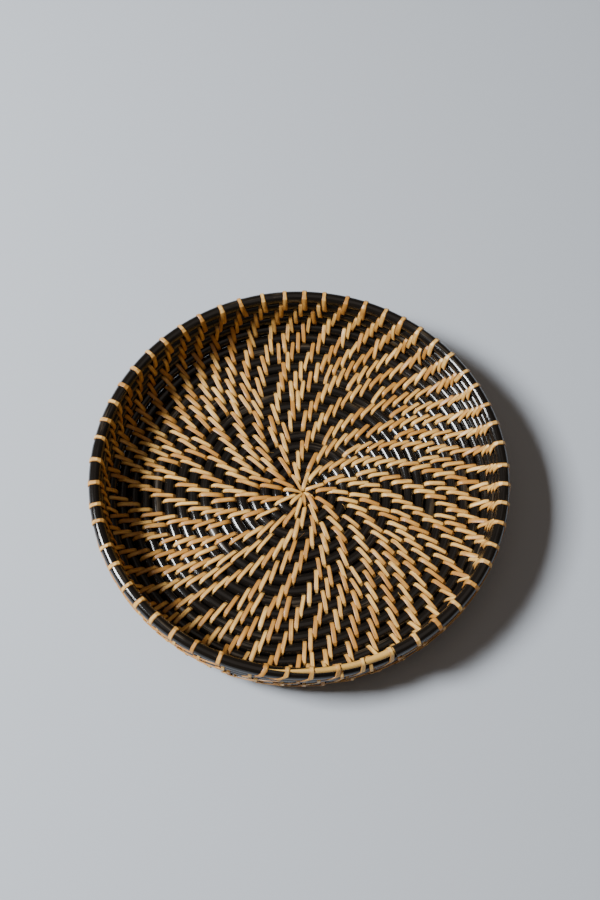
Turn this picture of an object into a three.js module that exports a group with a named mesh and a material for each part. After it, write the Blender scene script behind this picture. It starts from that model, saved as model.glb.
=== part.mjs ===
// Round coiled tray basket: a flat base, a short flared wall and a level rim.
//
// One thick cane is coiled from the centre of the base to the rim, and thin split strips lash each
// turn of it to the turn before. The cane is drawn as one piece for each turn, and each row of
// lashing is one strip that wraps round its two turns and passes through the gaps beside them.
// Millimetres, +Z up, with the origin on the floor under the middle of the basket.

import * as THREE from 'three';

// ---- Driving dimensions ----------------------------------------------------------------------

const rimRadius = 135.2; // centre line of the rim cane, from the basket's axis
const rimHeight = 40.6; // centre line of the rim cane, above the floor
const wallLeanDegrees = 5; // how far the wall flares from upright
const bendRadius = 16; // where the base turns up into the wall, at the canes' centres

const caneWidth = 6.6; // the cane, across the flats that face its neighbours
const caneHeight = 6.8; // the cane, from the inside of the basket to the outside
const caneFlat = 2.4; // how much of the cane's height is flat against the lashing
const stripWidth = 2.5;
const stripThickness = 0.5;

const seatGap = 0.3; // between a strip and the cane or strip that it lies on
const legGap = 0.15; // between a strip and the two canes that it passes between
const windingSlack = 0.6; // room that lets the spiral of the base settle into level rings
const buttGap = 0.3; // between the ends of two turns

const seamDegrees = -109; // where each turn begins, just left of the front
const climbShare = 1 / 8; // the part of a turn in which a wall ring climbs to the next one
const centreStart = 5 / 8; // turns left out at the very centre
const bendsPerTurn = 32; // a turn of cane is drawn as this many straight lengths
const innerStitches = 4; // stitches in the innermost row, doubled outwards as room allows
const stitchRoom = 10; // least space between stitches, in strip widths

// ---- The basket's profile --------------------------------------------------------------------

const wallSlope = THREE.MathUtils.degToRad(90 - wallLeanDegrees);
const layer = seatGap + stripThickness;
const baseHeight = caneHeight / 2 + 2 * layer; // two strips deep underneath, where rows cross
const bendLength = bendRadius * wallSlope;
const bendTop = baseHeight + bendRadius * (1 - Math.cos(wallSlope));
const wallLength = (rimHeight - bendTop) / Math.sin(wallSlope);
const flatLength = rimRadius - wallLength * Math.cos(wallSlope) - bendRadius * Math.sin(wallSlope);
const profileLength = flatLength + bendLength + wallLength;

const closestPitch = caneWidth + stripThickness + 2 * legGap + windingSlack;
const rimTurn = Math.floor(profileLength / closestPitch);
const pitch = profileLength / rimTurn;
const baseTurns = Math.floor((flatLength + bendLength / 3) / pitch);
const levelTurns = Math.floor(flatLength / pitch); // from here outwards the turns are level rings

// The profile after a number of turns: radius, height, and its slope from the floor.
function profile(turns) {
  const distance = turns * pitch;
  const bent = THREE.MathUtils.clamp(distance - flatLength, 0, bendLength);
  const straight = Math.max(distance - flatLength - bendLength, 0);
  const slope = bent / bendRadius;
  return {
    radius: Math.min(distance, flatLength) + bendRadius * Math.sin(slope) + straight * Math.cos(slope),
    height: baseHeight + bendRadius * (1 - Math.cos(slope)) + straight * Math.sin(slope),
    slope,
  };
}

// ---- The coil --------------------------------------------------------------------------------

// The cane's place t turns along its length is counted in turns of the profile. A plain spiral in
// the middle settles by degrees into level rings, each of which climbs to the next at the seam.
function caneTurns(t) {
  const whole = Math.floor(t);
  const part = t - whole;
  const climb = Math.max(0, (part - 1 + climbShare) / climbShare);
  const levelness = Math.min(t / levelTurns, 1);
  return whole + part + levelness * (climb - part);
}

// The middle of the gap beyond the cane, or the line of the lashing over the level rim.
const rimEdge = rimTurn + (caneWidth / 2 + seatGap + stripThickness / 2) / pitch;

function outerGapTurns(t) {
  return t < rimTurn ? (caneTurns(t) + caneTurns(t + 1)) / 2 : rimEdge;
}

function innerGapTurns(t) {
  return outerGapTurns(t - 2);
}

// One bend: a centre with the two directions across the cane, outwards along the profile and up
// from it towards the inside of the basket.
function bendAt(t, turns) {
  const { radius, height, slope } = profile(turns);
  const angle = THREE.MathUtils.degToRad(seamDegrees) - 2 * Math.PI * t;
  const x = Math.cos(angle);
  const y = Math.sin(angle);
  return {
    centre: new THREE.Vector3(radius * x, radius * y, height),
    out: new THREE.Vector3(Math.cos(slope) * x, Math.cos(slope) * y, Math.sin(slope)),
    up: new THREE.Vector3(-Math.sin(slope) * x, -Math.sin(slope) * y, Math.cos(slope)),
  };
}

// A place between two bends lies on the straight length that joins them.
function placeAt(t, turnsAt) {
  const bend = Math.floor(t * bendsPerTurn + 1e-9);
  const from = bendAt(bend / bendsPerTurn, turnsAt(bend / bendsPerTurn));
  const to = bendAt((bend + 1) / bendsPerTurn, turnsAt((bend + 1) / bendsPerTurn - 1e-9));
  const share = t * bendsPerTurn - bend;
  const along = to.centre.clone().sub(from.centre).normalize();
  return {
    centre: from.centre.lerp(to.centre, share),
    out: from.out.lerp(to.out, share).normalize(),
    up: from.up.lerp(to.up, share).normalize(),
    along,
  };
}

// ---- Sweeping a section ----------------------------------------------------------------------

// A path whose points and section axes are given one by one.
class StationPath extends THREE.Curve {
  constructor(stations) {
    super();
    this.stations = stations;
  }

  getSpacedPoints() {
    return this.stations.map((station) => station.centre);
  }

  computeFrenetFrames() {
    const normals = this.stations.map((station) => station.first);
    const binormals = this.stations.map((station) => station.second);
    const tangents = normals.map((normal, i) => normal.clone().cross(binormals[i]).normalize());
    return { tangents, normals, binormals };
  }
}

function sweep(section, stations) {
  const path = new StationPath(stations);
  const steps = stations.length - 1;
  return new THREE.ExtrudeGeometry(section, { steps, bevelEnabled: false, extrudePath: path });
}

function outline(corners) {
  return new THREE.Shape(corners.map(([first, second]) => new THREE.Vector2(first, second)));
}

const caneSection = outline([
  [caneHeight / 2, 0],
  [caneFlat / 2, caneWidth / 2],
  [-caneFlat / 2, caneWidth / 2],
  [-caneHeight / 2, 0],
  [-caneFlat / 2, -caneWidth / 2],
  [caneFlat / 2, -caneWidth / 2],
]);

const stripSection = outline([
  [stripThickness / 2, stripWidth / 2],
  [-stripThickness / 2, stripWidth / 2],
  [-stripThickness / 2, -stripWidth / 2],
  [stripThickness / 2, -stripWidth / 2],
]);

// ---- Canes -----------------------------------------------------------------------------------

function caneStation(t, turnsAt, size = 1) {
  const { centre, out, up } = placeAt(t, turnsAt);
  return { centre, first: up.multiplyScalar(size), second: out.multiplyScalar(-size) };
}

// The places from one end of a length of cane to the other: its two ends and the bends between.
function bendsBetween(start, end) {
  const places = [start];
  for (let bend = Math.floor(start * bendsPerTurn) + 1; bend < end * bendsPerTurn; bend += 1) {
    places.push(bend / bendsPerTurn);
  }
  places.push(end);
  return places;
}

function halfButt(t) {
  return buttGap / 2 / (2 * Math.PI * profile(caneTurns(t)).radius);
}

function caneTurn(start, end) {
  const places = bendsBetween(start + halfButt(start), end - halfButt(end));
  return sweep(caneSection, places.map((t) => caneStation(t, caneTurns)));
}

// The rim cane's end is shaved to a long taper that fills the wedge between the cane climbing
// beneath it and the level top of the rim.
function rimTail() {
  const start = rimTurn + 1 - climbShare;
  const sizeAt = (t) => 1 - (caneTurns(t - 1) - rimTurn + 1) * pitch / caneWidth;
  const turnsAt = (t) => rimTurn + (1 - sizeAt(t)) * caneWidth / 2 / pitch;
  const stations = [caneStation(start + halfButt(rimTurn), turnsAt, sizeAt(start))];
  for (let t = start + 1 / bendsPerTurn; sizeAt(t) > 0; t += 1 / bendsPerTurn) {
    stations.push(caneStation(t, turnsAt, sizeAt(t)));
  }
  return sweep(caneSection, stations);
}

// ---- Lashings --------------------------------------------------------------------------------

const overHeight = caneHeight / 2 + seatGap + stripThickness / 2;

// Stitches in a row. Doubling keeps every row in step with the others.
function stitchCount(row) {
  const around = 2 * Math.PI * profile(row).radius;
  const doublings = Math.floor(Math.log2(around / (innerStitches * stitchRoom * stripWidth)));
  return innerStitches * 2 ** THREE.MathUtils.clamp(doublings, 0, 2);
}

// Each row is turned back by a third of the widest spacing, so that no stitch meets one of the two
// rows that share its gaps.
function stitchPlaces(row) {
  const count = stitchCount(row);
  const shift = THREE.MathUtils.euclideanModulo(-row * count / (3 * innerStitches), 1);
  return Array.from({ length: count }, (_, i) => row + (i + shift) / count);
}

// A corner of the strip's path lies above or below a gap, where the strip turns through a right
// angle, so its section is mitred.
function stripCorner(t, turnsAt, height, outSign) {
  const { centre, out, up, along } = placeAt(t, turnsAt);
  const first = up.clone().multiplyScalar(Math.sign(height)).addScaledVector(out, outSign);
  return { centre: centre.addScaledVector(up, height), first, second: along };
}

// Underneath, the strip crosses to the next stitch. Across the flat base it needs a few places,
// so that it doesn't cut inwards. Round the wall it follows each bend of the cane, and half bends
// where the profile curves.
function placesUnderneath(row, from, to) {
  const outerEdge = (row + 1.5) * pitch;
  const innerEdge = (row - 1.5) * pitch;
  if (outerEdge < flatLength + pitch / 2) {
    const steps = Math.max(2, Math.ceil((to - from) * bendsPerTurn / 2));
    return Array.from({ length: steps - 1 }, (_, i) => THREE.MathUtils.lerp(from, to, (i + 1) / steps));
  }
  const bends = innerEdge < flatLength + bendLength ? 2 * bendsPerTurn : bendsPerTurn;
  const places = [];
  for (let bend = Math.floor(from * bends) + 1; bend < to * bends; bend += 1) {
    places.push(bend / bends);
  }
  return places;
}

function stripUnderneath(row, from, to, height) {
  return placesUnderneath(row, from, to).map((t) => {
    const share = (t - from) / (to - from);
    const turnsAt = (x) => THREE.MathUtils.lerp(outerGapTurns(x), innerGapTurns(x), share);
    const { centre, up, along } = placeAt(t, turnsAt);
    return { centre: centre.addScaledVector(up, height), first: up.negate(), second: along };
  });
}

function lashing(row) {
  const places = stitchPlaces(row);
  const underHeight = -overHeight - (row % 2) * layer;
  const stations = [stripCorner(places[0], innerGapTurns, underHeight, -1)];
  places.forEach((t, i) => {
    stations.push(stripCorner(t, innerGapTurns, overHeight, -1));
    stations.push(stripCorner(t, outerGapTurns, overHeight, 1));
    stations.push(stripCorner(t, outerGapTurns, underHeight, 1));
    const next = places[i + 1];
    if (next !== undefined) {
      stations.push(...stripUnderneath(row, t, next, underHeight));
      stations.push(stripCorner(next, innerGapTurns, underHeight, -1));
    }
  });
  return sweep(stripSection, stations);
}

// ---- The assembly ----------------------------------------------------------------------------

const dyedCane = { color: 0x1d1913, roughness: 0.28, metalness: 0 };
const shavedCane = { color: 0xc99c62, roughness: 0.6, metalness: 0 };
const splitStrip = { color: 0xd9ab6f, roughness: 0.5, metalness: 0 };

const basket = new THREE.Group();

function add(name, geometry, look) {
  const mesh = new THREE.Mesh(geometry, new THREE.MeshStandardMaterial(look));
  mesh.name = name;
  basket.add(mesh);
}

function numbered(name, number) {
  return `${name}_${String(number).padStart(2, '0')}`;
}

for (let turn = 1; turn < rimTurn; turn += 1) {
  const start = turn === 1 ? centreStart : turn;
  const inBase = turn <= baseTurns;
  const name = inBase ? numbered('base_cane', turn) : numbered('wall_cane', turn - baseTurns);
  add(name, caneTurn(start, turn + 1), dyedCane);
}
add('rim_cane', caneTurn(rimTurn, rimTurn + 1 - climbShare), dyedCane);
add('rim_cane_tail', rimTail(), shavedCane);

// A row of lashing is numbered like the outer of the two turns that it holds together.
for (let row = 2; row < rimTurn; row += 1) {
  const inBase = row <= baseTurns;
  const name = inBase ? numbered('base_lashing', row) : numbered('wall_lashing', row - baseTurns);
  add(name, lashing(row), splitStrip);
}
add('rim_lashing', lashing(rimTurn), splitStrip);

export default basket;
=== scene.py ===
# %% [markdown]
# # A coiled tray basket
#
# The basket is one long black cane, wound outwards from the middle of the base and up the wall,
# and bound to itself by thin split strips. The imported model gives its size, its turns and the
# place of each row of binding. This file gives it the finish of the real thing: round lacquered
# canes, several hundred crowned stitches, and the shaved end that closes the rim.

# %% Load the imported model
import math
import random

import bpy
import numpy as np
from mathutils import Matrix, Vector


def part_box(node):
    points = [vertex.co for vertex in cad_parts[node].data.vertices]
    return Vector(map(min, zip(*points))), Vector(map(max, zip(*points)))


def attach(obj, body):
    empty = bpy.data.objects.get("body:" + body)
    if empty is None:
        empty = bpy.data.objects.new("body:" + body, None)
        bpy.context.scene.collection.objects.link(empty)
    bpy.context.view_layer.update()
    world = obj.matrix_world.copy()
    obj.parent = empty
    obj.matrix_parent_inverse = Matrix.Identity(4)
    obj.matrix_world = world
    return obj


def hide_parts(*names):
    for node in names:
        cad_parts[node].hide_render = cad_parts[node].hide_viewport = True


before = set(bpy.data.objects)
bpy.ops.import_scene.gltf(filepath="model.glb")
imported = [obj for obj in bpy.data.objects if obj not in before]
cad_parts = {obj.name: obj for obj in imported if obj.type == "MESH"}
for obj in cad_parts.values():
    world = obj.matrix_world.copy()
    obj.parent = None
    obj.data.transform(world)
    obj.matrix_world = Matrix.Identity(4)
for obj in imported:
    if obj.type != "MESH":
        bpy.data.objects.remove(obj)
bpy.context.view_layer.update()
print("packed nodes:", len(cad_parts))

# %% [markdown]
# ## Sizes
#
# Lengths are in millimetres here, because a basket maker thinks in them, and a mesh is scaled to
# metres when it is made. The rim's place and the number of turns are read from the frame. The
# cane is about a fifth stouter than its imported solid, which is pared down at the sides to let the
# bindings pass, and the strips are a little wider and thicker than theirs.

# %% Sizes of the basket and its materials
MM = 0.001
rim_low, rim_high = (np.array(corner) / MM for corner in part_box("rim_cane"))
BASE_TURNS = sum(name.startswith("base_cane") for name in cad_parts)
WALL_TURNS = sum(name.startswith("wall_cane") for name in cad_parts)
RIM_TURN = BASE_TURNS + WALL_TURNS + 1

CANE_RADIUS = 4.04
STRIP_WIDTH = 3.0
STRIP_THICKNESS = 0.66
PACKED_CANE = 6.8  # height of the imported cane's section
WALL_SLOPE = math.radians(85)
BEND_RADIUS = 16.0
SEAM_ANGLE = math.radians(-109)  # where each turn begins, just left of the front
OFF_CENTRE = 2.8  # how far the coil's middle is to the right of the rim's
CLIMB_SHARE = 1 / 8  # the part of a turn in which a level ring climbs to the next

rim_height = (rim_low[2] + rim_high[2]) / 2
rim_radius = rim_high[0] - PACKED_CANE / 2 * math.sin(WALL_SLOPE)
base_height = CANE_RADIUS + 2 * STRIP_THICKNESS
print(f"rim: radius {rim_radius:.1f}, height {rim_height:.1f}; base canes at {base_height:.1f}")

# %% [markdown]
# ## The profile and the coil
#
# Cut through the middle, the basket shows a flat base, a tight bend and a wall that is almost
# upright. Each turn of cane sits one pitch further along this profile. In the base the cane is a
# plain spiral. In the wall each turn is a level ring, which climbs to the next in a short stretch
# at the front, and this is where a maker also ends the rim. No coil is wound quite true: this one
# starts a little to the right of the rim's centre. One function for the profile and one for the
# winding place everything else.

# %% The profile
bend_length = BEND_RADIUS * WALL_SLOPE
bend_top = base_height + BEND_RADIUS * (1 - math.cos(WALL_SLOPE))
wall_length = (rim_height - bend_top) / math.sin(WALL_SLOPE)
flat_length = rim_radius - wall_length * math.cos(WALL_SLOPE) - BEND_RADIUS * math.sin(WALL_SLOPE)
pitch = (flat_length + bend_length + wall_length) / RIM_TURN
level_turns = math.floor(flat_length / pitch)


def profile(turns):
    """Radius and height of the profile, that many turns out from the middle."""
    distance = turns * pitch
    slope = min(max(distance - flat_length, 0), bend_length) / BEND_RADIUS
    straight = max(distance - flat_length - bend_length, 0)
    radius = min(distance, flat_length) + BEND_RADIUS * math.sin(slope) + straight * math.cos(slope)
    height = base_height + BEND_RADIUS * (1 - math.cos(slope)) + straight * math.sin(slope)
    return np.array([radius, height])


print(f"pitch {pitch:.2f}, flat part {flat_length:.1f}, wall {wall_length:.1f}")

# %% The winding
LEAST_RADIUS = 2.5  # nearer the middle than this, a sideways move turns no further


def smooth(share):
    """0 to 1 with a soft start and a soft end."""
    share = min(max(share, 0), 1)
    return share * share * (3 - 2 * share)


def cane_turns(t):
    """The cane's place along the profile, t turns along its length."""
    whole = math.floor(t)
    part = t - whole
    climb = smooth((part - 1 + CLIMB_SHARE) / CLIMB_SHARE)
    return whole + part + min(t / level_turns, 1) * (climb - part)


def in_space(flat, t, sideways=0.0):
    """A point of the profile's plane, turned to t turns and moved clockwise by sideways."""
    radius, height = flat
    angle = SEAM_ANGLE - 2 * math.pi * t - sideways / max(abs(radius), LEAST_RADIUS)
    drift = OFF_CENTRE * (1 - smooth(radius / flat_length))
    return np.array([radius * math.cos(angle) + drift, radius * math.sin(angle), height])


print("the coil starts at", in_space(profile(0), 0).round(1))
print("the rim passes through", in_space(profile(RIM_TURN), 0).round(1))

# %% [markdown]
# ## Sweeping a section
#
# Canes and strips are both one section carried along a path. A curve object with a bevel could do
# this, but it would choose how the section turns, and a flat strip must keep its back to the cane
# all the way round. So the sections are placed one by one, and joined into a closed mesh. Its UV
# map runs along the piece and across it, in metres, for the grain to follow.

# %% Sweep sections into a closed mesh
def swept(name, rings, along, across, tones=None):
    """rings[i][j] is corner j of section i; along and across are their distances, for the UVs."""
    count, sides = len(rings), len(rings[0])
    points = np.array(rings).reshape(-1, 3) * MM
    faces = []
    for i in range(count - 1):
        for j in range(sides):
            k = (j + 1) % sides
            faces.append((i * sides + j, i * sides + k, (i + 1) * sides + k, (i + 1) * sides + j))
    faces.append(tuple(reversed(range(sides))))
    faces.append(tuple(range((count - 1) * sides, count * sides)))
    mesh = bpy.data.meshes.new(name)
    mesh.from_pydata([tuple(p) for p in points], [], faces)
    uv = mesh.uv_layers.new(name="UVMap").data
    for polygon in mesh.polygons:
        for corner, loop in enumerate(polygon.loop_indices):
            vertex = mesh.loops[loop].vertex_index
            i, j = divmod(vertex, sides)
            if len(polygon.vertices) == 4 and j == 0 and corner in (1, 2):
                j = sides  # the face that closes the section ends one full turn on
            uv[loop].uv = (along[i] * MM, across[j] * MM)
    if tones is not None:
        tone = mesh.attributes.new("tone", "FLOAT", "POINT")
        tone.data.foreach_set("value", np.repeat(tones, sides))
    piece = bpy.data.objects.new(name, mesh)
    bpy.context.collection.objects.link(piece)
    return piece


# %% [markdown]
# The grain needs the distance along a path. And a swept mesh has its faces turned outwards by
# Blender's own operator, in edit mode, because the winding of a section could go either way.

# %% Distances along a path, and faces that point outwards
def distances(points):
    """The distance from the first point to each, along the line through them."""
    steps = np.linalg.norm(np.diff(np.array(points), axis=0), axis=1)
    return np.concatenate([[0.0], np.cumsum(steps)])


def closed_outward(piece, angle):
    """Faces out, smooth but for edges sharper than angle."""
    bpy.ops.object.select_all(action="DESELECT")
    piece.select_set(True)
    bpy.context.view_layer.objects.active = piece
    bpy.ops.object.mode_set(mode="EDIT")
    bpy.ops.mesh.select_all(action="SELECT")
    bpy.ops.mesh.normals_make_consistent(inside=False)
    bpy.ops.object.mode_set(mode="OBJECT")
    bpy.ops.object.shade_smooth_by_angle(angle=math.radians(angle))


# %% [markdown]
# ## The canes
#
# The core is round rattan. It was never perfectly even, so its thickness wanders, and it swells a
# little at the joints where leaves grew. The first turn is shaved thin, because a full cane can't
# be bent into a curl that tight. Each turn is one piece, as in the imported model, with the ends
# butted so that no gap shows.

# %% The cane's thickness
CANE_START = 0.45  # in turns, as are all places along the coil
START_RADIUS = 2.5
START_TURNS = 0.9  # the shaved start grows to the full thickness over this
UNEVENNESS = 0.05
JOINT_SPACING = 187.0
JOINT_SWELL = 0.10
JOINT_LENGTH = 2.2
WAIST_OFFSET = 5.0  # the cane is a little thinner, this far past a joint
WAIST_LENGTH = 3.0

chance = random.Random(41)
waves = [(chance.uniform(0.011, 0.05), chance.uniform(0, 6.3)) for _ in range(5)]


def cane_length(t):
    """About how far along the cane t is, from the middle: the spiral's area over its pitch. On the
    wall this is too long, which does no harm to a pattern."""
    return math.pi * pitch * t * t


def swelling(distance, length):
    """1 at the middle of a swelling, and nothing a few lengths away."""
    return math.exp(-((distance / length) ** 2))


def cane_radius(t):
    """The cane's radius, with its thinned start, its uneven growth and its joints. But for the
    joints, it is kept to the room between its neighbours."""
    start = START_RADIUS + (CANE_RADIUS - START_RADIUS) * smooth((t - CANE_START) / START_TURNS)
    place = cane_length(t)
    uneven = sum(math.sin(place * rate + phase) for rate, phase in waves) / len(waves)
    off_joint = (place % JOINT_SPACING) - JOINT_SPACING / 2
    joint = swelling(off_joint, JOINT_LENGTH) - swelling(off_joint - WAIST_OFFSET, WAIST_LENGTH)
    room = (cane_turns(t + 1) - cane_turns(t)) * pitch / 2
    return min(start - UNEVENNESS + UNEVENNESS * uneven, room) + JOINT_SWELL * joint


print("cane thickness at turns 1, 2 and 10:", [round(2 * cane_radius(t), 2) for t in (1, 2, 10)])

# %% [markdown]
# A round section is carried along the winding in steps of under 3 mm, which keeps the outline
# smooth even where the coil is tight. A bevelled curve would do for a round cane, but this sweep
# also gives it the UV map that its grain needs.

# %% Wind the canes
CANE_SIDES = 14
CANE_STEP = 2.6
FEWEST_STEPS = 12


def cane_ring(t, centre, radius):
    """A round section in the profile's plane."""
    corners = []
    for side in range(CANE_SIDES):
        turn = 2 * math.pi * side / CANE_SIDES
        corners.append(in_space(centre + radius * np.array([math.cos(turn), math.sin(turn)]), t))
    return corners


def wind(name, start, end, centre_at, radius_at, step_length=CANE_STEP):
    """One length of cane from start to end, both in turns."""
    around = 2 * math.pi * profile(cane_turns(end - 0.5))[0]
    steps = max(FEWEST_STEPS, round((end - start) * around / step_length))
    times = np.linspace(start, end, steps + 1)
    rings = [cane_ring(t, centre_at(t), radius_at(t)) for t in times]
    along = [cane_length(t) for t in times]
    across = np.linspace(0, 2 * math.pi * CANE_RADIUS, CANE_SIDES + 1)
    return swept(name, rings, along, across)


def cane_centre(t):
    return profile(cane_turns(t))


def packed_name(kind, turn):
    """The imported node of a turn's cane or lashing."""
    if turn <= BASE_TURNS:
        return f"base_{kind}_{turn:02d}"
    if turn < RIM_TURN:
        return f"wall_{kind}_{turn - BASE_TURNS:02d}"
    return f"rim_{kind}"


canes = []
for turn in range(1, RIM_TURN + 1):
    packed = packed_name("cane", turn)
    start = CANE_START if turn == 1 else turn
    end = turn + 1 if turn < RIM_TURN else turn + 1 - CLIMB_SHARE
    cane = wind("lacquered_" + packed, start, end, cane_centre, cane_radius)
    closed_outward(cane, 50)
    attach(cane, "root")
    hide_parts(packed)
    canes.append(cane)
middle_line = [in_space(cane_centre(t), t) for t in np.linspace(CANE_START, end, 2000)]
print("canes:", len(canes), f"and {distances(middle_line)[-1] / 1000:.1f} m of cane in all")

# %% [markdown]
# ## The shaved end of the rim
#
# A coil would end in a step. So the maker shaves the last hand's length of cane to a thin wedge,
# which takes off the black and shows the pale wood, and lays it on the cane that climbs beneath
# it, towards the inside. The wedge is swept like the cane, with its section shrinking to a point
# and sliding round the cane below so that it never stands above the rim.

# %% Shave the end of the rim cane
TAIL_START = RIM_TURN + 1 - CLIMB_SHARE
TAIL_END = RIM_TURN + 1 - 0.029
TAIL_THICK = 2.45  # this and the next two are radii
TAIL_THIN = 1.5
TAIL_POINT = 0.14
THINNING = 2.5  # the higher, the sooner it is thin
TAPER_FROM = 0.62  # the last taper's start and length, as shares of the whole
TAPER_SHARE = 0.40
TAIL_STEP = 1.6
BELOW_RIM_TOP = 0.1
LEAST_TILT = math.radians(10)


def tail_radius(t):
    """It thins fast at first, runs on evenly, and tapers to a point at its end."""
    share = (t - TAIL_START) / (TAIL_END - TAIL_START)
    thick = TAIL_THIN + (TAIL_THICK - TAIL_THIN) * (1 - share) ** THINNING
    return thick * (1 - smooth((share - TAPER_FROM) / TAPER_SHARE)) + TAIL_POINT


def tail_centre(t):
    """It rests on the cane one turn below, tilted inwards until it is no higher than the rim."""
    below = cane_turns(t - 1)
    centre = profile(below)
    along = profile(below + 0.5) - centre
    along /= np.linalg.norm(along)
    inward = np.array([-along[1], along[0]])
    apart = cane_radius(t - 1) + tail_radius(t)
    top = (RIM_TURN - below) * pitch + CANE_RADIUS - tail_radius(t) - BELOW_RIM_TOP
    cosine = min(top / apart, math.cos(LEAST_TILT))
    return centre + apart * (cosine * along + math.sqrt(1 - cosine * cosine) * inward)


tail = wind("shaved_rim_end", TAIL_START, TAIL_END, tail_centre, tail_radius, TAIL_STEP)
closed_outward(tail, 50)
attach(tail, "root")
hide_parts("rim_cane_tail")
print("shaved end:", len(tail.data.polygons), "faces")

# %% [markdown]
# ## Where the stitches go
#
# A stitch goes over two turns of cane. The next row's stitch comes up beside the middle of it, one
# strip further round, so the stitches run outwards in curved rays. As the rays spread apart, the
# maker starts a new one wherever the gap has grown too wide. Seven rays start at the middle, and
# each later stitch is placed from the one before it on the turn inside, and a little towards the
# middle of its neighbours. For the last stretch before the seam, where the rim's shaved end lies on
# it, the last wall turn has no stitches of its own, because the rim's stitches hold both.

# %% Place the stitches
FIRST_RAYS = 7
FIRST_STITCH = 0.78
DRIFT_BASE = 4.1  # how far round from the stitch on the turn inside
DRIFT_WALL = 3.2
WIDEST_BASE = (16.0, 21.5)  # a gap wider than a number from this range starts a new ray
WIDEST_WALL = (26.0, 30.0)
EVENED_BASE = 0.2  # the share of the way to the middle of its neighbours
EVENED_WALL = 0.4
WALL_ROW = BASE_TURNS + 1
LAST_OF_WALL = RIM_TURN - 0.08
LAST_OF_RIM = RIM_TURN + 0.985

hand = random.Random(7)
stitch_times = [FIRST_STITCH + k / FIRST_RAYS for k in range(FIRST_RAYS)]
source = 0
while stitch_times[-1] < RIM_TURN + 1:
    before = stitch_times[max(source - 1, 0)]
    below, after = stitch_times[source : source + 2]
    on_wall = below + 1 > WALL_ROW
    evened = ((before + after) / 2 - below) * (EVENED_WALL if on_wall else EVENED_BASE)
    t = below + 1 + (evened if source else 0)
    around = 2 * math.pi * profile(cane_turns(t) - 0.5)[0]
    t += (DRIFT_WALL if on_wall else DRIFT_BASE) / around
    widest = hand.uniform(*(WIDEST_WALL if on_wall else WIDEST_BASE))
    if (t - stitch_times[-1]) * around > widest:
        stitch_times.append((t + stitch_times[-1]) / 2)
    stitch_times.append(t)
    source += 1
stitch_times = [t for t in stitch_times if t < LAST_OF_WALL or RIM_TURN <= t < LAST_OF_RIM]
row_counts = [sum(math.floor(t) == row for t in stitch_times) for row in range(RIM_TURN + 1)]
print("stitches:", len(stitch_times), "row by row:", row_counts)

# %% [markdown]
# ## The strips
#
# A strip pulled tight takes the shortest way round its two canes: two straight runs that touch
# both, joined by a bend round each. Underneath it leans over to the next stitch. Following that
# path with a flat, slightly crowned section gives a whole row as one strip, as it is worked. A
# random number for each stitch varies its lean, its width and its colour, and the numbers come
# from one seeded source, so each run is the same.

# %% The strip's section, and the tight loop
CORNER = 0.05  # height of the section's side corners, as a share of its thickness
CROWN = 0.34  # where its crown ends, as a share of its width
HUB = np.array([1.9, base_height + 0.6])
HUB_RADIUS = 0.5


def section(width, thickness):
    """The strip's section, as (sideways, outward) pairs: flat below, crowned above."""
    return [
        (-width * 0.5, -thickness * 0.5),
        (width * 0.5, -thickness * 0.5),
        (width * 0.5, thickness * CORNER),
        (width * CROWN, thickness * 0.5),
        (-width * CROWN, thickness * 0.5),
        (-width * 0.5, thickness * CORNER),
    ]


def bound_pair(t):
    """Centres and radii of the two canes that the strip goes round at t, inner one first. The first
    stitches have no inner cane, and turn round a small hub instead."""
    if t > TAIL_START:
        outer = (tail_centre(min(t, TAIL_END)), tail_radius(min(t, TAIL_END)))
    else:
        outer = (cane_centre(t), cane_radius(t))
    if t - 1 < CANE_START:
        inner = (HUB, HUB_RADIUS)
    else:
        inner = (cane_centre(t - 1), cane_radius(t - 1))
    return inner, outer


def loop_point(t, on_outer, share, lift):
    """A point of the tight loop, and the direction out of it, in the profile's plane. share runs
    from 1, where the upper run touches that cane, round its far side to -1 on the lower run."""
    (inner, inner_radius), (outer, outer_radius) = bound_pair(t)
    between = outer - inner
    apart = np.linalg.norm(between)
    between /= apart
    upward = np.array([-between[1], between[0]])
    touch = math.acos(min(max((inner_radius - outer_radius) / apart, -1), 1))
    if on_outer:
        turn, centre, radius = share * touch, outer, outer_radius
    else:
        turn, centre, radius = math.pi - share * (math.pi - touch), inner, inner_radius
    outward = math.cos(turn) * between + math.sin(turn) * upward
    return centre + (radius + lift) * outward, outward


def reach(t):
    """How far the loop stretches, from its middle to either end."""
    (inner, inner_radius), (outer, outer_radius) = bound_pair(t)
    return (np.linalg.norm(outer - inner) + inner_radius + outer_radius) / 2


print(f"a stitch in the base reaches {2 * reach(8.5):.1f} mm, on the wall {2 * reach(18.5):.1f} mm")

# %% [markdown]
# A stitch is a short list of stations. It goes up round the inner cane, over both and down round
# the outer one, and crosses beneath to the next stitch. Where it dives between the canes it is
# pinched, so its outer end is narrower. On the shaved end, a strip comes straight down over the
# cane below before it goes on to the next stitch.

# %% One stitch
UPPER_BENDS = (1.0, 0.62, 0.25)
LOWER_BENDS = (-0.25, -0.62, -1.0)
CROSSING = ((0.34, "beneath", 0.34), (0.67, "beneath", 0.67))
TAIL_CROSSING = ((0.06, "inner", -0.98), (0.36, "inner", -0.60), (0.70, "inner", -0.36))
NARROWED = {1.0: 1.0, 0.62: 0.96, 0.25: 0.74}
LOWER_WIDTH = 0.8
LEAN_ON_BENDS = 0.45  # the share of the lean that is taken on the bends
LOOSENESS = (-0.02, 0.13)
WIDTHS = (0.90, 1.08)
SHIFT_SPREAD = 0.28


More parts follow.
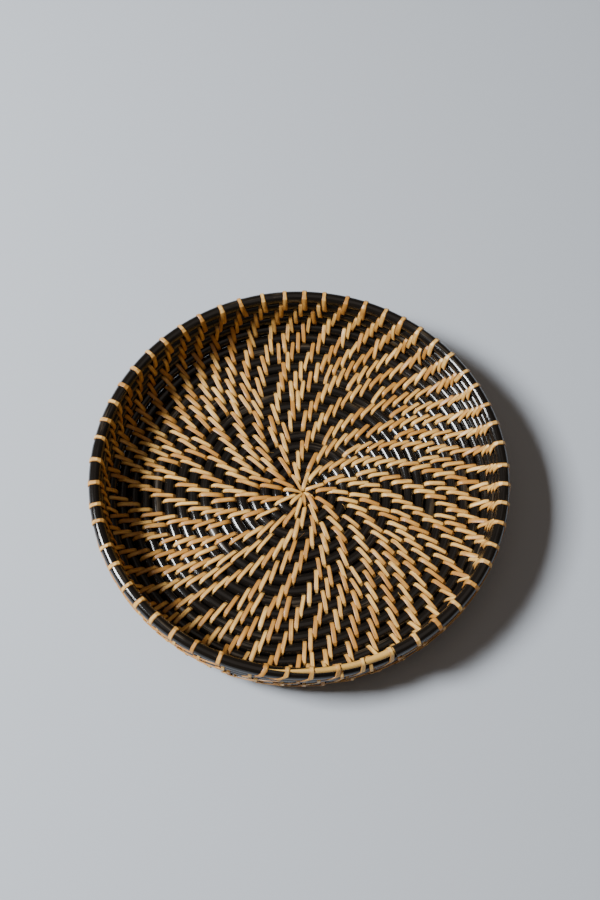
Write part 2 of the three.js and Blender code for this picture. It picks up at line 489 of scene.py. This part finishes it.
def stitch_stations(t, later, under, wide, slope):
    """One stitch: up round the inner cane, over both, down round the outer, and back beneath to
    the next. Each station is a place in turns, a cane and a share of its bend, a shift, a lift and
    a width. The share of a station beneath is that of the straight run between the canes."""
    over = STRIP_THICKNESS / 2 + hand.uniform(*LOOSENESS)
    shift = hand.gauss(0, SHIFT_SPREAD)
    width = wide * hand.uniform(*WIDTHS)
    end = slope * reach(t)
    on_tail = t > TAIL_START
    rising = LOWER_BENDS[:1] if on_tail else reversed(LOWER_BENDS)
    stations = []
    for share in rising:
        stations.append((t, "inner", share, shift - end, under, width))
    for share in reversed(UPPER_BENDS):
        leaned = end * (1 - LEAN_ON_BENDS * share)
        stations.append((t, "inner", share, shift - leaned, over, width))
    for share in UPPER_BENDS:
        leaned = end * (1 - LEAN_ON_BENDS * share)
        stations.append((t, "outer", share, shift + leaned, over, width * NARROWED[share]))
    for share in LOWER_BENDS:
        stations.append((t, "outer", share, shift + end, under, width * LOWER_WIDTH))
    for part, cane_name, share in TAIL_CROSSING if on_tail else CROSSING:
        place = t + part * (later - t)
        stations.append((place, cane_name, share, (shift + end) * (1 - part), under, width))
    return stations


def strip_ring(station):
    """The strip's section at a station, square to its loop."""
    t, cane_name, share, sideways, lift, width = station
    if cane_name == "beneath":
        first, outward = loop_point(t, True, -1, lift)
        last, outward_inner = loop_point(t, False, -1, lift)
        flat = first + (last - first) * share
        outward = outward * (1 - share) + outward_inner * share
    else:
        flat, outward = loop_point(t, cane_name == "outer", share, lift)
    corners = []
    for across, out in section(STRIP_WIDTH * width, STRIP_THICKNESS):
        corners.append(in_space(flat + outward * out, t, sideways + across))
    return corners


print("stations round each cane:", len(UPPER_BENDS + LOWER_BENDS))

# %% [markdown]
# Each row is worked as one strip from end to end. Rows that share a cane cross underneath, so every
# second row lies about one thickness further out there. The rim's strips are a fifth wider.

# %% Work the strips, row by row
STRIP_ACROSS = (0, 3.0, 3.35, 3.95, 6.0, 6.6, 6.95)
LEAN_BASE = (0.085, 0.055)  # the mean and the spread
LEAN_WALL = (0.0, 0.10)
RIM_STRIP_WIDTH = 1.2
PRESSED = 0.08  # how far strips that cross are pressed together
RUN_ON = 6.0  # how far a strip runs on past its last stitch
GRAIN_LENGTH = 900  # each strip takes its grain from somewhere in this length

strips = []
for row in range(1, RIM_TURN + 1):
    times = [t for t in stitch_times if math.floor(t) == row or (row == 1 and t < 1)]
    times.append(times[-1] + RUN_ON / (2 * math.pi * profile(row)[0]))
    under = STRIP_THICKNESS / 2 + row % 2 * (STRIP_THICKNESS - PRESSED)
    wide = RIM_STRIP_WIDTH if row == RIM_TURN else 1.0
    stations, tones = [], []
    for t, later in zip(times, times[1:]):
        slope = hand.gauss(*(LEAN_WALL if row >= WALL_ROW else LEAN_BASE))
        stitch = stitch_stations(t, later, under, wide, slope)
        stations += stitch
        tones += [hand.random()] * len(stitch)
    rings = [strip_ring(station) for station in stations]
    along = distances([np.mean(ring, axis=0) for ring in rings]) + hand.uniform(0, GRAIN_LENGTH)
    packed = packed_name("lashing", row)
    strip = swept("split_strip_" + packed, rings, along, STRIP_ACROSS, tones)
    closed_outward(strip, 30)
    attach(strip, "root")
    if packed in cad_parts:  # the first row, at the very centre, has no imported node
        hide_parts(packed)
    strips.append(strip)
print("rows of strip:", len(strips), "faces:", sum(len(s.data.polygons) for s in strips))

# %% [markdown]
# ## Stray fibres
#
# Hand work leaves a few hairs of split cane lying loose on the base. Each is a thin tapered thread,
# swept like everything else, and they are joined into one object. A few are enough.

# %% Leave a few stray fibres
FIBRES = 11
FIBRE_THICKNESS = 0.20
FIBRE_RISE = 1.3
FIBRE_SIDES = (0, 2.1, 4.2)
FIBRE_ACROSS = (3.7, 4.1, 4.5, 4.9)
FIBRE_SPACING = 20
ABOVE_CANE = 0.15

threads = []
for number in range(FIBRES):
    t = hand.uniform(3.2, BASE_TURNS - 1)
    long, turned, bow = hand.uniform(4, 9), hand.uniform(-1.4, 1.4), hand.uniform(-0.8, 0.8)
    foot = profile(cane_turns(t)) + np.array([0, CANE_RADIUS + ABOVE_CANE])
    rings = []
    for share in np.linspace(0, 1, 7):
        flat = foot + share * np.array([long * math.cos(turned), FIBRE_RISE])
        sideways = share * long * math.sin(turned) + bow * share * (1 - share) * 4
        thick = FIBRE_THICKNESS * (1 - 0.7 * share)
        ring = []
        for side in FIBRE_SIDES:
            corner = flat + np.array([0, thick * math.cos(side)])
            ring.append(in_space(corner, t, sideways + thick * math.sin(side)))
        rings.append(ring)
    along = distances([np.mean(ring, axis=0) for ring in rings]) + number * FIBRE_SPACING
    threads.append(swept(f"stray_fibre_{number + 1:02d}", rings, along, FIBRE_ACROSS))
bpy.ops.object.select_all(action="DESELECT")
for thread in threads:
    thread.select_set(True)
bpy.context.view_layer.objects.active = threads[0]
bpy.ops.object.join()
fibres = threads[0]
fibres.name = "stray_fibres"
closed_outward(fibres, 80)
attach(fibres, "root")
print("stray fibres:", FIBRES)

# %% [markdown]
# ## A small language for materials
#
# Shader nodes are easier to read as sums. `Value` wraps a socket that carries a number, and its
# operators add Math nodes. `Paint` is one material: `add` makes any other node from its type, its
# settings and its inputs, and the short methods after it are the few nodes that these finishes need.

# %% Shader maths
class Value:
    """A number that changes over the surface."""

    def __init__(self, paint, socket):
        self.paint = paint
        self.socket = socket

    def combine(self, operation, first, second):
        node = self.paint.add("ShaderNodeMath", {"operation": operation}, {0: first, 1: second})
        return Value(self.paint, node.outputs[0])

    def __add__(self, other):
        return self.combine("ADD", self, other)

    def __sub__(self, other):
        return self.combine("SUBTRACT", self, other)

    def __mul__(self, other):
        return self.combine("MULTIPLY", self, other)

    def __rsub__(self, other):
        return self.combine("SUBTRACT", other, self)

    def absolute(self):
        return self.combine("ABSOLUTE", self, 0.0)

    __radd__ = __add__
    __rmul__ = __mul__


class Paint:
    """A material that starts as a plain Principled surface."""

    def __init__(self, name):
        self.material = bpy.data.materials.new(name)
        self.material.use_nodes = True
        self.tree = self.material.node_tree
        self.surface = self.tree.nodes["Principled BSDF"]

    def connect(self, socket, given):
        if isinstance(given, Value):
            self.tree.links.new(given.socket, socket)
        elif isinstance(given, bpy.types.NodeSocket):
            self.tree.links.new(given, socket)
        else:
            socket.default_value = given

    def add(self, kind, settings=None, inputs=None):
        node = self.tree.nodes.new(kind)
        for setting, value in (settings or {}).items():
            setattr(node, setting, value)
        for socket, given in (inputs or {}).items():
            self.connect(node.inputs[socket], given)
        return node

    def uv(self, along, across, shift=0.0):
        """The UV map in metres, stretched for a pattern along the piece."""
        uv = self.add("ShaderNodeUVMap", {"uv_map": "UVMap"}).outputs[0]
        inputs = {"Vector": uv, "Location": (shift, shift, 0), "Scale": (along, across, 1)}
        return self.add("ShaderNodeMapping", {}, inputs).outputs[0]

    def across_piece(self):
        """The distance across the piece, in metres."""
        uv = self.add("ShaderNodeUVMap", {"uv_map": "UVMap"}).outputs[0]
        return Value(self, self.add("ShaderNodeSeparateXYZ", {}, {"Vector": uv}).outputs["Y"])

    def noise(self, vector, scale=1.0, detail=2.0, roughness=0.5):
        inputs = {"Vector": vector, "Scale": scale, "Detail": detail, "Roughness": roughness}
        return Value(self, self.add("ShaderNodeTexNoise", {}, inputs).outputs[0])

    def step(self, value, low, high):
        """0 below low, 1 above high, and smooth between them."""
        settings = {"interpolation_type": "SMOOTHSTEP"}
        node = self.add("ShaderNodeMapRange", settings, {0: value, 1: low, 2: high})
        return Value(self, node.outputs[0])

    def mix(self, factor, first, second):
        """Between two colours."""
        inputs = {0: factor, 6: first, 7: second}
        return self.add("ShaderNodeMix", {"data_type": "RGBA"}, inputs).outputs[2]

    def attribute(self, name):
        return Value(self, self.add("ShaderNodeAttribute", {"attribute_name": name}).outputs["Fac"])

    def bump(self, height, distance, strength=1.0):
        inputs = {"Height": height, "Distance": distance, "Strength": strength}
        return self.add("ShaderNodeBump", {}, inputs).outputs[0]

    def set(self, **values):
        for name, given in values.items():
            self.connect(self.surface.inputs[name.replace("_", " ")], given)

    def cover(self, pieces):
        for piece in pieces:
            piece.data.materials.clear()
            piece.data.materials.append(self.material)


# %% [markdown]
# ## Black lacquered cane
#
# The cane is dyed and then lacquered, so light draws long crisp lines on it. The dye is thin where
# the cane was rubbed or took it badly, and there the wood shows through as a dull olive brown.
# Fine ridges run along the cane and make the edges of the highlights uneven.

# %% Paint the canes
black = Paint("black lacquered cane")
fibre = black.noise(black.uv(22, 1500), 1.0, 3, 0.6)
patches = black.noise(black.uv(16, 120), 1.0, 3, 0.55)
worn = black.step(patches + (fibre - 0.5) * 0.35, 0.57, 0.69)
rubbed = black.step(black.noise(black.uv(70, 420, 3.1), 1.0, 4, 0.6), 0.64, 0.78)
dye = black.mix(fibre, (0.0030, 0.0026, 0.0024, 1), (0.0090, 0.0068, 0.0050, 1))
dye = black.mix(worn * 0.75, dye, (0.060, 0.043, 0.026, 1))
dye = black.mix(rubbed * 0.35, dye, (0.085, 0.058, 0.036, 1))
black.set(
    Base_Color=dye,
    Roughness=worn * 0.20 + rubbed * 0.14 + fibre * 0.10 + 0.10,
    Normal=black.bump(fibre + patches * 0.6, 0.00011, 0.9),
)
black.set(Specular_IOR_Level=0.4, Coat_Weight=0.3, Coat_Roughness=0.06)
black.cover(canes)
print("black lacquered cane:", len(black.tree.nodes), "nodes")

# %% [markdown]
# ## Split cane strips
#
# A strip is split from the skin of the cane. It is straw coloured, with orange and brown where
# the skin had sun or age, brown streaks and fine dark pores in lines, and a soft sheen. Its edges
# are darkened by painted shade, for the shading of a rounder section. The colour changes from
# stitch to stitch as the maker works along a strip, and this is what the tone attribute carries.

# %% Paint the strips
STRIP_MIDDLE = 4.98 * MM
# The strip's edges are darkened with painted shade, which stands in for the shading of a rounder
# section.
SHADE_EDGE_FROM = 0.65 * MM  # how far from the middle the darker edge begins
SHADE_EDGE_FULL = 1.40 * MM

straw = Paint("split cane strip")
tone = straw.attribute("tone")
grain = straw.noise(straw.uv(90, 3600), 1.0, 3, 0.6)
streaks = straw.noise(straw.uv(150, 1100, 2.3), 1.0, 2, 0.5)
blotch = straw.noise(straw.uv(95, 260), 1.0, 3, 0.55)
pores = straw.step(straw.noise(straw.uv(900, 4200, 1.7), 1.0, 2, 0.5), 0.62, 0.72)
ruddy = straw.step(blotch + (tone - 0.5) * 0.6, 0.47, 0.78)
pale = straw.mix(tone, (0.890, 0.565, 0.165, 1), (0.640, 0.320, 0.060, 1))
wood = straw.mix(ruddy, pale, (0.480, 0.220, 0.040, 1))
wood = straw.mix(straw.step(streaks, 0.47, 0.66) * 0.62, wood, (0.400, 0.185, 0.046, 1))
wood = straw.mix(straw.step(grain, 0.40, 0.70) * 0.5, wood, (0.300, 0.140, 0.040, 1))
wood = straw.mix(pores * 0.45, wood, (0.120, 0.050, 0.020, 1))
off_middle = (straw.across_piece() - STRIP_MIDDLE).absolute()
# Painted shade: the strip grows darker towards both edges, for the shading of a rounder section.
painted_edge_shade = straw.step(off_middle, SHADE_EDGE_FROM, SHADE_EDGE_FULL)
wood = straw.mix(painted_edge_shade * 0.85, wood, (0.330, 0.135, 0.026, 1))
straw.set(
    Base_Color=wood,
    Roughness=grain * 0.20 + pores * 0.1 + 0.28,
    Normal=straw.bump(grain - pores * 0.5, 0.00012, 0.7),
)
straw.set(Specular_IOR_Level=0.45)
straw.cover(strips + [fibres])
print("split cane strip:", len(straw.tree.nodes), "nodes")

# %% [markdown]
# ## Shaved wood
#
# Shaving leaves bare wood with no skin on it: the same straw colour as the strips, duller, with
# the long open grain of the cane's heart.

# %% Paint the shaved end
bare = Paint("shaved cane")
heart = bare.noise(bare.uv(40, 1800), 1.0, 4, 0.6)
stain = bare.noise(bare.uv(55, 200), 1.0, 3, 0.5)
wood = bare.mix(heart, (0.700, 0.430, 0.100, 1), (0.500, 0.260, 0.055, 1))
wood = bare.mix(bare.step(stain, 0.55, 0.75) * 0.6, wood, (0.330, 0.150, 0.055, 1))
bare.set(Base_Color=wood, Roughness=heart * 0.2 + 0.45, Normal=bare.bump(heart, 0.00025, 0.8))
bare.cover([tail])
print("shaved cane:", len(bare.tree.nodes), "nodes")

# %% [markdown]
# ## Floor, light and camera
#
# The basket stands on a plain pale floor. A small window high on the left lights it from one side,
# so the left wall is dark inside, the shadow falls to the right, and the lacquer shows thin bright
# lines. A weak warm light from the ceiling, and a weaker one from all round, keep the shadows open.
# The camera looks down steeply from the front.

# %% Floor
bpy.ops.object.select_all(action="DESELECT")
bpy.ops.mesh.primitive_plane_add(size=8, location=(0, 0, 0))
floor = bpy.context.object
floor.name = "floor"
pale_floor = Paint("pale floor")
pale_floor.set(Base_Color=(0.435, 0.460, 0.500, 1), Roughness=0.9, Specular_IOR_Level=0.1)
pale_floor.cover([floor])
print("floor:", tuple(floor.dimensions))


# %% Light
def square_light(name, place, size, power, colour):
    """A square of light that faces the middle of the basket."""
    light = bpy.data.lights.new(name, "AREA")
    light.shape = "SQUARE"
    light.size = size
    light.energy = power
    light.color = colour
    lamp = bpy.data.objects.new(name, light)
    lamp.location = place
    lamp.rotation_euler = (-Vector(place)).to_track_quat("-Z", "Y").to_euler()
    bpy.context.collection.objects.link(lamp)


square_light("window", (-1.46, 0.03, 1.55), 0.6, 112, (0.95, 0.98, 1.0))
square_light("ceiling", (0.3, -0.2, 2.6), 2.4, 6, (1.0, 0.88, 0.78))
world = bpy.data.worlds.new("room")
world.use_nodes = True
world.node_tree.nodes["Background"].inputs["Color"].default_value = (1.0, 0.82, 0.68, 1)
world.node_tree.nodes["Background"].inputs["Strength"].default_value = 0.09
bpy.context.scene.world = world
print("lights:", [light.name for light in bpy.data.lights], "and the room")

# %% Camera
lens_from = Vector((-0.0035, -0.3293, 0.7986))
aim = Vector((0.0007, 0.0347, 0))
backward = (lens_from - aim).normalized()
right = Vector((0, 1, 0)).cross(backward).normalized()
upward = backward.cross(right)
camera_data = bpy.data.cameras.new("camera")
camera_data.lens = 50
camera_data.sensor_width = 36
camera = bpy.data.objects.new("camera", camera_data)
turned = Matrix((right, upward, backward)).transposed().to_4x4()
camera.matrix_world = Matrix.Translation(lens_from) @ turned
bpy.context.collection.objects.link(camera)
bpy.context.scene.camera = camera
print(f"camera: {(lens_from - aim).length:.2f} m from the basket")
